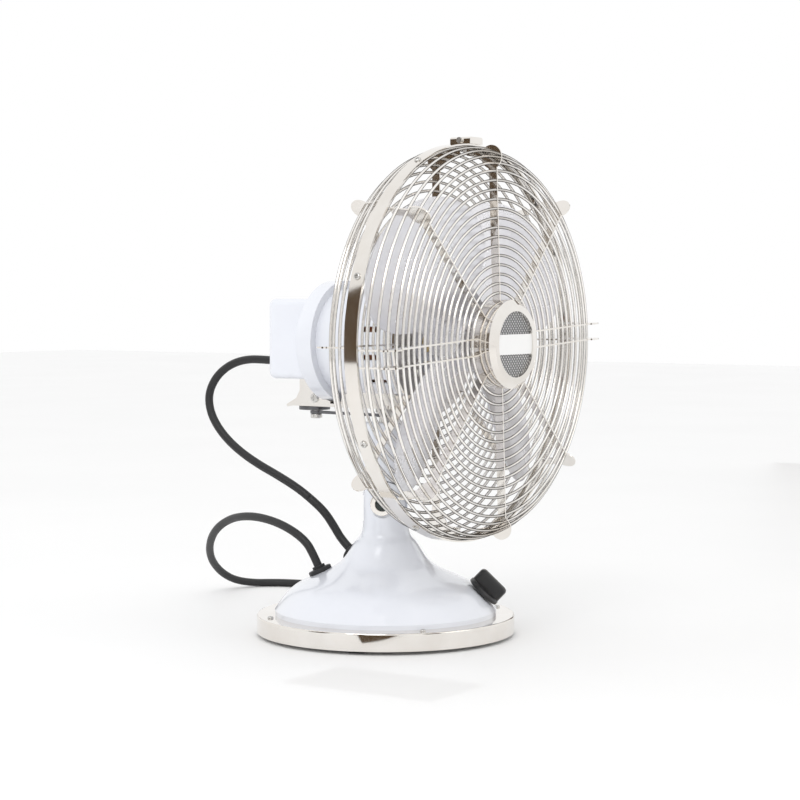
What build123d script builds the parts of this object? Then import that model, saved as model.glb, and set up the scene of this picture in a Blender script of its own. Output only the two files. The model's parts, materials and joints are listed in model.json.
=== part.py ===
from build123d import *
import math
import os

# Desk fan. Millimetres, +Z up. The origin is on the standing plane, under the neck's axis.
# At rest the fan blows towards -Y. The base faces BASE_YAW degrees round from -Y towards +X,
# because the head rests part of the way through its swing.

# ---------------------------------------------------------------- driving dimensions
AXIS_HEIGHT = 258.0          # fan axis above the standing plane
BASE_YAW = 26.0              # base's front, measured from the fan's front
SWING_HALF = 38.0            # the head swings this far each side of the base's front

# base
FOOT_HEIGHT = 3.0            # rubber feet below the base ring
FOOT_RADIUS = 8.0
FOOT_CIRCLE = 98.0
FOOT_COUNT = 5               # round the rim; one more stands in the middle
FOOT_START = -95.0           # first foot, round the base from its front
BASE_RADIUS = 114.0
RING_HEIGHT = 15.3
RING_SHEET = 1.5
RING_EDGE = 3.0              # rounding of the ring's upper edge
RING_INNER = 88.0
PLATE_THICK = 1.5
SHELL_FOOT = 98.0            # foot radius of the bell
SHELL_FOOT_RISE = 4.0
SHELL_WALL = 2.0
SHELL_THROAT = 104.0         # where the bell's curve meets the straight neck
NECK_RADIUS = 20.0
NECK_BORE = 6.0
SCREW_COUNT = 4
RING_SCREW_RADIUS = 2.6
RING_SCREW_HEIGHT = 1.6
RING_SCREW_CIRCLE = 105.0
RING_SCREW_START = -64.0

# neck joint
TILT_HEIGHT = 116.6          # tilt bolt's axis
SLOT_WIDTH = 16.0            # fork slot across the bolt
SLOT_GAP = 0.2               # tongue to fork, each side
FORK_GAP = 0.8               # upper neck to the fork's round end
TONGUE_RADIUS = 16.0
BOLT_RADIUS = 4.0
PIN_CLEARANCE = 0.04         # running fit, on the radius
BOLT_HEAD_RADIUS = 10.5
BOLT_HEAD_HEIGHT = 4.0
BOLT_RECESS_RADIUS = 6.5
BOLT_RECESS_DEPTH = 1.6
NUT_RADIUS = 8.5
NUT_HEIGHT = 6.0
NECK_TOP = 188.0
NECK_TOP_EDGE = 3.0

# swing pivot and its linkage
SPINDLE_RADIUS = 6.0
SPINDLE_SEAT = 28.0          # length of the spindle held in the upper neck
BUSHING_WALL = 2.0
COLLAR_RADIUS = 9.0
BRACKET_BOTTOM = 200.0
BRACKET_SHEET = 3.0
BRACKET_WIDTH = 34.0
BRACKET_FRONT = 20.0         # ahead of the neck's axis
TAIL_REACH = 3.0             # the cheeks' tails behind the bracket
CRANK_BACK = 78.0            # crank shaft behind the neck's axis
ANCHOR_RADIUS = 17.0         # link's anchor, off the neck's axis
CRANK_DISC_RADIUS = 14.0
CRANK_DISC_THICK = 3.0
CRANK_GAP = 0.8              # crank disc under the bracket
CRANK_SHAFT_RADIUS = 3.0
LINK_THICK = 2.5
LINK_WIDTH = 4.5
LINK_EYE_RADIUS = 5.5
LINK_GAP = 0.5               # link under the crank disc
LINK_PIN_RADIUS = 2.5
CRANK_NUT_RADIUS = 5.2
CRANK_NUT_HEIGHT = 4.0
ANCHOR_GAP = 0.4             # anchor screw above the neck's top face

# motor, as distances behind (-) or ahead (+) of the neck's axis along the fan axis
DRUM_RADIUS = 54.0
DRUM_BACK = -66.0
DRUM_FRONT = -42.0
DRUM_WALL = 1.5
BELL_FRONT = 44.0
BELL_RADIUS = 47.0
BELL_NOSE_RADIUS = 40.0
VENT_COUNT = 12
VENT_LENGTH = 18.0
VENT_WIDTH = 5.0
GEARBOX_BACK = -114.0
GEARBOX_WIDTH = 48.0
GEARBOX_TOP = 38.0           # above the fan axis
GEARBOX_BOTTOM = -34.0
GEARBOX_EDGE = 7.0
GEARBOX_WALL = 2.0
SHAFT_RADIUS = 4.0
STATOR_FRONT = 2.0
STATOR_RADIUS = 44.0
STATOR_BORE = 24.0
STATOR_LENGTH = 34.0
ROTOR_GAP = 0.5
WINDING_LENGTH = 12.0
WORM_RADIUS = 5.5
WORM_LENGTH = 14.0
WHEEL_RADIUS = 11.0
WHEEL_THICK = 5.0

# cage
CAGE_RADIUS = 170.0          # clamp band, outside
BAND_WIDTH = 12.0
BAND_SHEET = 1.5
BAND_CENTRE = 84.0
WIRE_RADIUS = 1.25
WIRE_CLEARANCE = 0.12        # wire in a strip's hole, on the radius
RING_PITCH = 7.9
FACE_RING_FIRST = 43.5
FACE_RING_COUNT = 14
FRONT_FACE = 118.0           # centre plane of the front face wires
REAR_FACE = 51.0
STRIP_THICK = 1.4
STRIP_DEPTH = 7.5
PAIR_SPACING = 14.0
GRILLE_TURN = 3.0            # the front half is clamped this far off level
BAND_SCREWS = (19.5, 64.0, 116.0, 160.5, 207.0, 243.0, 297.0, 333.0)
EAR_RADIUS = 10.0            # round ear at each strip's corner
EAR_CENTRE = 158.0
EAR_DROP = 5.0               # its centre inside the strip's outer edge
REAR_PLATE_RADIUS = 62.0
REAR_PLATE_HOLE = 30.0
REAR_RING_FIRST = 68.0
REAR_RING_COUNT = 11
SIDE_RING_COUNT = 5          # round each half's corner
LATCH_WIDTH = 20.0
LATCH_LENGTH = 20.0
LATCH_HEIGHT = 5.5
LATCH_BOLT_RADIUS = 1.6

# badge
BADGE_RADIUS = 37.7
BADGE_RECESS = 28.0
BADGE_BACK = 112.0
BADGE_FRONT = 134.5
BADGE_FLOOR = 130.0
BADGE_BAR_HEIGHT = 17.0
BADGE_BAR_THICK = 1.5

# fan
BLADE_TIP = 150.0
BLADE_COUNT = 4
BLADE_THICK = 1.4
BLADE_CENTRE = 84.0
BLADE_PETAL_RADIUS = 57.0
HUB_RADIUS = 24.0
HUB_BACK = 70.0
HUB_FRONT = 96.0
FAN_NUT_RADIUS = 9.0
FAN_NUT_LENGTH = 10.0

# controls and cords
KNOB_ANGLE = 0.0             # round the base from its front
KNOB_RING = 86.0             # where the knob's axis meets the bell
KNOB_RADIUS = 15.5
KNOB_SKIRT = 4.0
KNOB_HEIGHT = 16.0
KNOB_BAR = 12.0
KNOB_SHAFT = 3.0
KNOB_STANDOFF = 0.8          # skirt above the shell
SWITCH_RADIUS = 15.0
SWITCH_DEPTH = 14.0
POWER_ANGLE = 182.0          # power cord's gland, round the base from its front
POWER_RING = 58.0
MOTOR_ANGLE = 150.0          # motor cord's gland
MOTOR_RING = 36.0
CORD_RADIUS = 3.75
GROMMET_FLANGE = 10.5
GROMMET_HEIGHT = 6.0
COIL_MID_RADIUS = 37.2
COIL_HEIGHT = 15.0
COIL_WIDTH = 24.6
COIL_CENTRE = (137.0, 104.0)
PLUG_LENGTH = 30.0
PLUG_WIDTH = 24.0
PLUG_THICK = 15.0
PIN_LENGTH = 16.0
PIN_SPACING = 12.7

CAP_SIZE = (34.0, 16.0, 22.0)
TERMINAL_SIZE = (30.0, 14.0, 10.0)

os.makedirs("parts", exist_ok=True)

BASE = Location((0, 0, 0), (0, 0, BASE_YAW))
HEAD = Plane(origin=(0, 0, AXIS_HEIGHT), x_dir=(1, 0, 0), z_dir=(0, -1, 0)).location


# ---------------------------------------------------------------- helpers
def save(name, *solids):
    shape = solids[0] if len(solids) == 1 else Compound(children=list(solids))
    export_step(shape, f"parts/{name}.step")


def disc(radius, z0, z1):
    return Pos(0, 0, (z0 + z1) / 2) * Cylinder(radius, z1 - z0)


def pipe(outer, inner, z0, z1):
    return disc(outer, z0, z1) - disc(inner, z0 - 1, z1 + 1)


def turned(points):
    """A solid of revolution about Z from an outline of (radius, height) points."""
    outline = Polyline(*[(r, 0, z) for r, z in points], close=True)
    return revolve(make_face(outline), Axis.Z)


def block(x0, x1, y0, y1, z0, z1):
    return Pos((x0 + x1) / 2, (y0 + y1) / 2, (z0 + z1) / 2) * Box(x1 - x0, y1 - y0, z1 - z0)


def around(count, start=0.0):
    return [Rot(0, 0, start + i * 360 / count) for i in range(count)]


def ring_wire(radius, z):
    return Pos(0, 0, z) * Torus(radius, WIRE_RADIUS)


def dome_screw(radius, height):
    """A round screw head standing on z = 0 with a crossed recess."""
    head = Cylinder(radius, height, align=(Align.CENTER, Align.CENTER, Align.MIN))
    head = fillet(head.edges().group_by(Axis.Z)[-1], height * 0.6)
    cross = Box(radius * 1.1, radius * 0.25, height) + Box(radius * 0.25, radius * 1.1, height)
    return head - Pos(0, 0, height) * cross


# ---------------------------------------------------------------- base
ring_top = FOOT_HEIGHT + RING_HEIGHT
plate_top = FOOT_HEIGHT + PLATE_THICK


def bell_outline(inset):
    """Half of the bell's section: foot, shoulder, hollow curve and neck."""
    foot = SHELL_FOOT - inset
    neck = NECK_RADIUS - inset
    base_z = ring_top
    edge_z = ring_top + SHELL_FOOT_RISE
    rise = SHELL_THROAT - edge_z
    shoulder = Spline(
        (foot, 0, edge_z - inset),
        (foot - 0.17 * (foot - neck), 0, edge_z - inset + 0.205 * rise),
        (foot - 0.34 * (foot - neck), 0, edge_z - inset + 0.310 * rise),
        (foot - 0.56 * (foot - neck), 0, edge_z - inset + 0.405 * rise),
        (foot - 0.78 * (foot - neck), 0, edge_z - inset + 0.545 * rise),
        (foot - 0.92 * (foot - neck), 0, edge_z + 0.745 * rise),
        (neck, 0, SHELL_THROAT),
        tangents=[(-0.75, 0, 1), (0, 0, 1)],
    )
    return foot, neck, base_z, edge_z - inset, shoulder


def bell_solid(inset, top):
    foot, neck, base_z, edge_z, shoulder = bell_outline(inset)
    wire = [
        Line((0, 0, base_z), (foot, 0, base_z)),
        Line((foot, 0, base_z), (foot, 0, edge_z)),
        shoulder,
        Line((neck, 0, SHELL_THROAT), (neck, 0, top)),
        Line((neck, 0, top), (0, 0, top)),
        Line((0, 0, top), (0, 0, base_z)),
    ]
    return revolve(make_face(Wire(wire)), Axis.Z)


fork_radius = NECK_RADIUS      # the fork's end is round about the bolt
fork_top = TILT_HEIGHT + fork_radius
slot_floor = TILT_HEIGHT - TONGUE_RADIUS - FORK_GAP
bell_full = bell_solid(0, fork_top)
hollow_top = slot_floor - SHELL_WALL * 3
bell_hollow = bell_solid(SHELL_WALL, fork_top) - disc(BASE_RADIUS, hollow_top, fork_top + 1)


def on_bell(radius, angle):
    """The location on the bell at a radius and an angle from its front, +Z along the outward normal."""
    turn = math.radians(angle - 90)
    direction = Vector(math.cos(turn), math.sin(turn), 0)
    probe = Line(direction * radius + Vector(0, 0, ring_top + 0.5), direction * radius + Vector(0, 0, 150))
    hit = max(v.Z for v in (bell_full & probe).vertices())
    point = Vector(direction.X * radius, direction.Y * radius, hit)
    step = 1.0
    near = Line(direction * (radius - step) + Vector(0, 0, ring_top + 0.5),
                direction * (radius - step) + Vector(0, 0, 150))
    rise = max(v.Z for v in (bell_full & near).vertices()) - hit
    normal = (direction * rise + Vector(0, 0, step)).normalized()
    side = Vector(0, 0, 1).cross(direction)
    return Plane(origin=point, x_dir=side, z_dir=normal).location


knob_seat = on_bell(KNOB_RING, KNOB_ANGLE)
power_seat = on_bell(POWER_RING, POWER_ANGLE)
motor_seat = on_bell(MOTOR_RING, MOTOR_ANGLE)

slot = block(-SLOT_WIDTH / 2 - SLOT_GAP, SLOT_WIDTH / 2 + SLOT_GAP, -NECK_RADIUS - 1, NECK_RADIUS + 1,
             slot_floor, fork_top + 1)
bolt_bore = Pos(0, 0, TILT_HEIGHT) * Rot(0, 90, 0) * Cylinder(BOLT_RADIUS, 4 * NECK_RADIUS)
fork_round = Pos(0, 0, TILT_HEIGHT) * Rot(0, 90, 0) * Cylinder(fork_radius, 4 * NECK_RADIUS)
fork_trim = block(-NECK_RADIUS - 1, NECK_RADIUS + 1, -NECK_RADIUS - 1, NECK_RADIUS + 1,
                  TILT_HEIGHT, fork_top + 1) - fork_round
bell = bell_full - bell_hollow - slot - bolt_bore - fork_trim
bell -= disc(NECK_BORE, hollow_top - 1, slot_floor + 1)
spot_depth = 2.0
spot_face = NECK_RADIUS - spot_depth
for side in (-1, 1):
    spot = Rot(0, 90 * side, 0) * Pos(0, 0, spot_face) * Cylinder(
        BOLT_HEAD_RADIUS + 1.5, 3 * spot_depth, align=(Align.CENTER, Align.CENTER, Align.MIN))
    bell -= Pos(0, 0, TILT_HEIGHT) * spot
for seat, radius in ((knob_seat, 5.0), (power_seat, CORD_RADIUS + 2), (motor_seat, CORD_RADIUS + 2)):
    bell -= seat * Cylinder(radius, 14)
save("base_shell", BASE * bell)

ring = pipe(BASE_RADIUS, BASE_RADIUS - RING_SHEET, FOOT_HEIGHT, ring_top)
ring += pipe(BASE_RADIUS, RING_INNER, ring_top - RING_SHEET, ring_top)
top_rim = ring.edges().filter_by(GeomType.CIRCLE).filter_by(
    lambda e: abs(e.radius - BASE_RADIUS) < 0.01 and e.center().Z > ring_top - 0.01)
ring = fillet(top_rim, min(RING_EDGE, RING_SHEET * 0.9))
ring_screw_places = [Rot(0, 0, RING_SCREW_START + i * 360 / SCREW_COUNT) * Pos(0, -RING_SCREW_CIRCLE, ring_top)
                     for i in range(SCREW_COUNT)]
save("base_ring", BASE * ring)
save("ring_screws", *[BASE * place * dome_screw(RING_SCREW_RADIUS, RING_SCREW_HEIGHT)
                      for place in ring_screw_places])

plate = disc(BASE_RADIUS - RING_SHEET, FOOT_HEIGHT, plate_top)
save("base_plate", BASE * plate)
foot = fillet(Cylinder(FOOT_RADIUS, FOOT_HEIGHT).edges().group_by(Axis.Z)[0], FOOT_HEIGHT * 0.3)
foot_places = [place * Pos(0, -FOOT_CIRCLE, 0) for place in around(FOOT_COUNT, FOOT_START)] + [Location()]
save("rubber_feet", *[BASE * place * Pos(0, 0, FOOT_HEIGHT / 2) * foot for place in foot_places])
save("plate_screws", *[BASE * place * Pos(0, -SHELL_FOOT * 0.7, plate_top) * Cylinder(
    RING_SCREW_RADIUS, 6, align=(Align.CENTER, Align.CENTER, Align.MIN)) for place in around(3, 45)])

# ---------------------------------------------------------------- switch, knob and glands
switch_body = Pos(0, 0, -SHELL_WALL * 1.8 - SWITCH_DEPTH / 2) * Cylinder(SWITCH_RADIUS, SWITCH_DEPTH)
switch_neck = Pos(0, 0, -SHELL_WALL * 0.9) * Cylinder(5.0, SHELL_WALL * 1.8)
switch = switch_body + switch_neck
switch -= Pos(0, 0, -SWITCH_DEPTH / 2) * Cylinder(KNOB_SHAFT + PIN_CLEARANCE, SWITCH_DEPTH + 8)
save("speed_switch", BASE * ((knob_seat * switch) - bell))

skirt = Cylinder(KNOB_RADIUS, KNOB_SKIRT, align=(Align.CENTER, Align.CENTER, Align.MIN))
skirt = chamfer(skirt.edges().group_by(Axis.Z)[-1], KNOB_SKIRT * 0.4)
grip = Box(KNOB_BAR, KNOB_RADIUS * 1.9, KNOB_HEIGHT, align=(Align.CENTER, Align.CENTER, Align.MIN))
grip = fillet(grip.edges().filter_by(Axis.Z), KNOB_BAR * 0.4)
grip = fillet(grip.edges().group_by(Axis.Z)[-1], 3.5)
stem = Pos(0, 0, 1) * Cylinder(KNOB_SHAFT, SWITCH_DEPTH + KNOB_STANDOFF,
                               align=(Align.CENTER, Align.CENTER, Align.MAX))
knob = Pos(0, 0, KNOB_STANDOFF) * (skirt + grip) + Pos(0, 0, KNOB_STANDOFF) * stem
knob -= Pos(0, -KNOB_RADIUS * 0.95, KNOB_STANDOFF + KNOB_HEIGHT * 0.5) * Box(1.6, 4, KNOB_HEIGHT)
save("speed_knob", BASE * knob_seat * knob)


def gland(seat):
    """A flanged grommet on the bell, with a raised sleeve; the cord starts at its mouth."""
    body = Cylinder(GROMMET_FLANGE, 3.5, align=(Align.CENTER, Align.CENTER, Align.MIN))
    body = fillet(body.edges().group_by(Axis.Z)[-1], 1.2)
    skirt_below = Cylinder(GROMMET_FLANGE, 8, align=(Align.CENTER, Align.CENTER, Align.MAX))
    sleeve = Cylinder(CORD_RADIUS + 2, GROMMET_HEIGHT, align=(Align.CENTER, Align.CENTER, Align.MIN))
    stem_in = Cylinder(CORD_RADIUS + 2, 7, align=(Align.CENTER, Align.CENTER, Align.MAX))
    outside = (seat * (body + skirt_below)) - bell_full
    keep = outside.solids().sort_by(SortBy.VOLUME)[-1]
    return keep + seat * sleeve + seat * stem_in


save("power_grommet", BASE * gland(power_seat))
save("motor_grommet", BASE * gland(motor_seat))

save("capacitor", BASE * block(-CAP_SIZE[0] / 2, CAP_SIZE[0] / 2, 20, 20 + CAP_SIZE[1],
                               plate_top, plate_top + CAP_SIZE[2]))
save("terminal_block", BASE * block(-TERMINAL_SIZE[0] / 2, TERMINAL_SIZE[0] / 2, -34, -34 + TERMINAL_SIZE[1],
                                    plate_top, plate_top + TERMINAL_SIZE[2]))

# ---------------------------------------------------------------- tilt joint
tilt_axis = Pos(0, 0, TILT_HEIGHT) * Rot(0, -90, 0)
bolt_head = Cylinder(BOLT_HEAD_RADIUS, BOLT_HEAD_HEIGHT, align=(Align.CENTER, Align.CENTER, Align.MIN))
bolt_head = fillet(bolt_head.edges().group_by(Axis.Z)[-1], 1.2)
bolt_head -= Pos(0, 0, BOLT_HEAD_HEIGHT) * Cylinder(BOLT_RECESS_RADIUS, 2 * BOLT_RECESS_DEPTH)
bolt_shank = Cylinder(BOLT_RADIUS, 2 * spot_face + NUT_HEIGHT - 1,
                      align=(Align.CENTER, Align.CENTER, Align.MAX))
bolt = Pos(0, 0, spot_face) * (bolt_head + bolt_shank)
save("tilt_bolt", BASE * tilt_axis * bolt)
nut = extrude(RegularPolygon(NUT_RADIUS, 6), NUT_HEIGHT + 2)
nut = Pos(0, 0, -spot_face - NUT_HEIGHT - 2) * nut
nut -= Pos(0, 0, -spot_face - NUT_HEIGHT / 2) * Cylinder(BOLT_RADIUS, NUT_HEIGHT + 2)
save("tilt_nut", BASE * tilt_axis * (nut - bolt))

tongue_round = tilt_axis * Cylinder(TONGUE_RADIUS, SLOT_WIDTH)
upper_neck = disc(NECK_RADIUS, TILT_HEIGHT, NECK_TOP)
upper_neck = fillet(upper_neck.edges().group_by(Axis.Z)[-1], NECK_TOP_EDGE)
neck_hollow = tilt_axis * Cylinder(fork_radius + FORK_GAP, 4 * NECK_RADIUS)
tongue_web = block(-SLOT_WIDTH / 2, SLOT_WIDTH / 2, -TONGUE_RADIUS, TONGUE_RADIUS, TILT_HEIGHT,
                   TILT_HEIGHT + fork_radius + FORK_GAP + 1)
neck = (upper_neck - neck_hollow) + tongue_round + tongue_web
neck -= tilt_axis * Cylinder(BOLT_RADIUS + PIN_CLEARANCE, 4 * NECK_RADIUS)
spindle_foot = NECK_TOP - SPINDLE_SEAT
neck -= disc(SPINDLE_RADIUS, spindle_foot, NECK_TOP + 1)
save("tilt_neck", BASE * neck)

# ---------------------------------------------------------------- swing pivot
bracket_top = BRACKET_BOTTOM + BRACKET_SHEET
spindle_top = AXIS_HEIGHT - DRUM_RADIUS - 1.5
collar_top = BRACKET_BOTTOM - 0.4
crank_top = BRACKET_BOTTOM - CRANK_GAP
crank_bottom = crank_top - CRANK_DISC_THICK
link_top = crank_bottom - LINK_GAP
link_bottom = link_top - LINK_THICK
save("spindle", BASE * (disc(SPINDLE_RADIUS, spindle_foot, spindle_top)
                        + disc(COLLAR_RADIUS, link_top + LINK_GAP, collar_top)))
bushing_bore = SPINDLE_RADIUS + PIN_CLEARANCE
bushing_outer = SPINDLE_RADIUS + BUSHING_WALL
save("spindle_bushing", pipe(bushing_outer, bushing_bore, BRACKET_BOTTOM, bracket_top))

gearbox_floor = AXIS_HEIGHT + GEARBOX_BOTTOM
half_width = BRACKET_WIDTH / 2
bracket_back = CRANK_BACK + CRANK_DISC_RADIUS + 2
bracket = block(-half_width, half_width, -BRACKET_FRONT, bracket_back, BRACKET_BOTTOM, bracket_top)
bracket = fillet(bracket.edges().filter_by(Axis.Z), 6.0)
cheek_outline = [
    (CRANK_BACK - 5, gearbox_floor), (CRANK_BACK + 4, gearbox_floor), (CRANK_BACK + 4, gearbox_floor - 10),
    (CRANK_BACK + 8, gearbox_floor - 17), (bracket_back + TAIL_REACH, BRACKET_BOTTOM + 1),
    (bracket_back + TAIL_REACH - 1, BRACKET_BOTTOM - 1), (bracket_back - 4, BRACKET_BOTTOM),
    (CRANK_BACK - 30, BRACKET_BOTTOM), (CRANK_BACK - 30, bracket_top + 2), (CRANK_BACK - 12, bracket_top + 8),
]
cheek_face = make_face(Polyline(*[(0, y, z) for y, z in cheek_outline], close=True))
for side in (-1, 1):
    cheek = extrude(Pos(side * (half_width - BRACKET_SHEET / 2), 0, 0) * cheek_face, BRACKET_SHEET / 2,
                    dir=(1, 0, 0), both=True)
    bracket += cheek - HEAD * disc(DRUM_RADIUS + 0.2, DRUM_BACK - 0.2, 0)
bell_bottom = AXIS_HEIGHT - BELL_RADIUS
saddle = block(-half_width + 3, half_width - 3, -BRACKET_FRONT, -DRUM_FRONT - 4, bracket_top, bell_bottom + 4)
drum_room = HEAD * Cylinder(BELL_RADIUS, 400)
bracket += saddle - drum_room
bracket -= disc(bushing_outer, BRACKET_BOTTOM - 1, bell_bottom + 8)
crank_axis = Pos(0, CRANK_BACK, 0)
bracket -= crank_axis * disc(CRANK_SHAFT_RADIUS + PIN_CLEARANCE, BRACKET_BOTTOM - 1, bracket_top + 1)
save("swing_bracket", bracket)
bracket_screws = []
for side in (-1, 1):
    place = Pos(side * half_width, CRANK_BACK - 13, bracket_top + 4.5) * Rot(0, side * 90, 0)
    bracket_screws.append(place * dome_screw(4.2, 2.2))
save("bracket_screws", *bracket_screws)

# ---------------------------------------------------------------- crank and link
crank_throw = ANCHOR_RADIUS * math.sin(math.radians(SWING_HALF))
yaw = math.radians(BASE_YAW)
anchor = Vector(-ANCHOR_RADIUS * math.cos(yaw), -ANCHOR_RADIUS * math.sin(yaw), 0)
lead = math.asin(math.sin(yaw) * ANCHOR_RADIUS / crank_throw)
crank_pin = Vector(-crank_throw * math.cos(lead), CRANK_BACK - crank_throw * math.sin(lead), 0)
print("crank pin", crank_pin, "anchor", anchor, "lead", math.degrees(lead))

crank = disc(CRANK_DISC_RADIUS, crank_bottom, crank_top)
crank = crank_axis * (crank + disc(CRANK_SHAFT_RADIUS, crank_bottom, gearbox_floor + 14))
crank -= Pos(crank_pin) * disc(LINK_PIN_RADIUS, crank_bottom - 1, crank_top + 1)
crank_bolt = Pos(crank_pin) * disc(LINK_PIN_RADIUS, link_bottom - CRANK_NUT_HEIGHT + 1, crank_top)
save("crank_disc", crank)
save("crank_pin", crank_bolt)
nut_top = link_bottom - 0.3
crank_nut = fillet(disc(CRANK_NUT_RADIUS, nut_top - CRANK_NUT_HEIGHT, nut_top).edges(), 1.0)
crank_nut = Pos(crank_pin) * crank_nut - crank_bolt
save("crank_nut", crank_nut)
wheel_bottom = gearbox_floor + GEARBOX_WALL + 2
wheel = crank_axis * pipe(WHEEL_RADIUS, CRANK_SHAFT_RADIUS, wheel_bottom, wheel_bottom + WHEEL_THICK)
save("reduction_wheel", wheel)

link_run = anchor - crank_pin
link_angle = math.degrees(math.atan2(link_run.Y, link_run.X))
link = Box(link_run.length, LINK_WIDTH, LINK_THICK)
link += Pos(link_run.length / 2, 0, 0) * Cylinder(LINK_EYE_RADIUS, LINK_THICK)
link += Pos(-link_run.length / 2, 0, 0) * Cylinder(LINK_EYE_RADIUS, LINK_THICK)
link -= Pos(link_run.length / 2, 0, 0) * Cylinder(LINK_PIN_RADIUS, 2 * LINK_THICK)
link -= Pos(-link_run.length / 2, 0, 0) * Cylinder(LINK_PIN_RADIUS + PIN_CLEARANCE, 2 * LINK_THICK)
middle = (anchor + crank_pin) * 0.5
link = Pos(middle.X, middle.Y, (link_top + link_bottom) / 2) * Rot(0, 0, link_angle) * link
save("link_rod", link)
anchor_screw = disc(LINK_PIN_RADIUS, NECK_TOP + ANCHOR_GAP, link_top)
anchor_screw += disc(LINK_EYE_RADIUS * 0.8, link_top, link_top + 1.6)
save("anchor_screw", Pos(anchor) * anchor_screw)

# ---------------------------------------------------------------- motor (local +Z is forward)
drum_step = 3.0
drum_outline = [
    (0, DRUM_BACK), (DRUM_RADIUS - 4 * drum_step, DRUM_BACK),
    (DRUM_RADIUS - 4 * drum_step, DRUM_BACK + drum_step), (DRUM_RADIUS - 2 * drum_step, DRUM_BACK + drum_step),
    (DRUM_RADIUS - 2 * drum_step, DRUM_BACK + 2 * drum_step), (DRUM_RADIUS, DRUM_BACK + 3 * drum_step),
    (DRUM_RADIUS, DRUM_FRONT), (0, DRUM_FRONT),
]
drum = turned(drum_outline)
drum -= disc(DRUM_RADIUS - 4 * drum_step - DRUM_WALL, DRUM_BACK + DRUM_WALL, DRUM_FRONT + 1)
drum -= disc(BELL_RADIUS, DRUM_BACK + 3 * drum_step + DRUM_WALL, DRUM_FRONT + 1)
shaft_hole = disc(SHAFT_RADIUS + 4, DRUM_BACK - 1, DRUM_BACK + 10)
drum -= shaft_hole
save("motor_drum", HEAD * drum)

bell_inner = BELL_RADIUS - DRUM_WALL
bell_outline_points = [
    (BELL_RADIUS, DRUM_BACK + 3 * drum_step + DRUM_WALL), (BELL_RADIUS, BELL_FRONT - 14),
    (BELL_NOSE_RADIUS, BELL_FRONT), (0, BELL_FRONT), (0, BELL_FRONT - DRUM_WALL * 1.5),
    (BELL_NOSE_RADIUS - 2, BELL_FRONT - DRUM_WALL * 1.5), (bell_inner, BELL_FRONT - 16),
    (bell_inner, DRUM_BACK + 3 * drum_step + DRUM_WALL),
]
front_bell = turned(bell_outline_points)
front_bell -= disc(SHAFT_RADIUS + 4, BELL_FRONT - 10, BELL_FRONT + 1)
vent_middle = BELL_FRONT - 14 - VENT_LENGTH * 0.8
for place in around(VENT_COUNT, 15):
    front_bell -= place * Pos(BELL_RADIUS, 0, vent_middle) * Box(10, VENT_WIDTH, VENT_LENGTH)
    front_bell -= place * Pos(BELL_NOSE_RADIUS * 0.7, 0, BELL_FRONT) * Box(VENT_LENGTH, VENT_WIDTH * 0.7, 10)
save("motor_front_bell", HEAD * front_bell)

stator_front = STATOR_FRONT
stator_back = stator_front - STATOR_LENGTH
save("stator_core", HEAD * pipe(STATOR_RADIUS, STATOR_BORE, stator_back, stator_front))
save("stator_windings",
     HEAD * pipe(STATOR_RADIUS - 4, STATOR_BORE + 2, stator_front, stator_front + WINDING_LENGTH),
     HEAD * pipe(STATOR_RADIUS - 6, STATOR_BORE + 2, stator_back - WINDING_LENGTH, stator_back))
rotor = pipe(STATOR_BORE - ROTOR_GAP, SHAFT_RADIUS, stator_back, stator_front)
save("rotor_core", HEAD * rotor)
shaft_back = DRUM_BACK - 24
shaft = disc(SHAFT_RADIUS, shaft_back, HUB_FRONT)
save("motor_shaft", HEAD * shaft)
worm = pipe(WORM_RADIUS, SHAFT_RADIUS, shaft_back, shaft_back + WORM_LENGTH)
save("worm", HEAD * worm)
bearing_length = 8.0
bearing_places = (DRUM_BACK + 1, BELL_FRONT - bearing_length - 0.5)
save("bearings", *[HEAD * pipe(SHAFT_RADIUS + 4, SHAFT_RADIUS + PIN_CLEARANCE, z, z + bearing_length)
                   for z in bearing_places])

gearbox_front = DRUM_BACK
half_box = GEARBOX_WIDTH / 2
gearbox = block(-half_box, half_box, GEARBOX_BOTTOM, GEARBOX_TOP, GEARBOX_BACK, gearbox_front)
gearbox = fillet(gearbox.edges().group_by(Axis.Z)[0], GEARBOX_EDGE)
gearbox = fillet(gearbox.edges().filter_by(Axis.Z), GEARBOX_EDGE * 0.8)
gearbox -= block(-half_box + GEARBOX_WALL, half_box - GEARBOX_WALL, GEARBOX_BOTTOM + GEARBOX_WALL,
                 GEARBOX_TOP - GEARBOX_WALL, GEARBOX_BACK + GEARBOX_EDGE, gearbox_front + 1)
gearbox -= Pos(0, 0, -CRANK_BACK) * Rot(90, 0, 0) * disc(CRANK_SHAFT_RADIUS + PIN_CLEARANCE, 0, 80)
save("gearbox_cover", HEAD * gearbox)

drum_screw_ring = DRUM_RADIUS - 4 * drum_step - 4
cover_screws = [HEAD * Rot(0, 0, a) * Pos(drum_screw_ring, 0, DRUM_BACK) * Rot(180, 0, 0) * dome_screw(3.0, 2.0)
                for a in (38, 142, 218, 322)]
save("drum_screws", *cover_screws)

# ---------------------------------------------------------------- cage
band_back = BAND_CENTRE - BAND_WIDTH / 2
band_front = BAND_CENTRE + BAND_WIDTH / 2
band_inner = CAGE_RADIUS - BAND_SHEET
band = pipe(CAGE_RADIUS, band_inner, band_back, band_front)
save("clamp_band", HEAD * band)

edge_ring = band_inner - WIRE_RADIUS
face_rings = [FACE_RING_FIRST + i * RING_PITCH for i in range(FACE_RING_COUNT)]
corner_radius = edge_ring - face_rings[-1] - RING_PITCH * 0.5


def corner_rings(face, rim, inner, outer, count):
    """Rings round the cage's corner, evenly spaced on a quarter ellipse from the face to the band."""
    rings = []
    for i in range(1, count + 1):
        turn = math.radians(90 * i / count)
        rings.append((inner + (outer - inner) * math.sin(turn), rim + (face - rim) * math.cos(turn)))
    return rings


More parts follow.
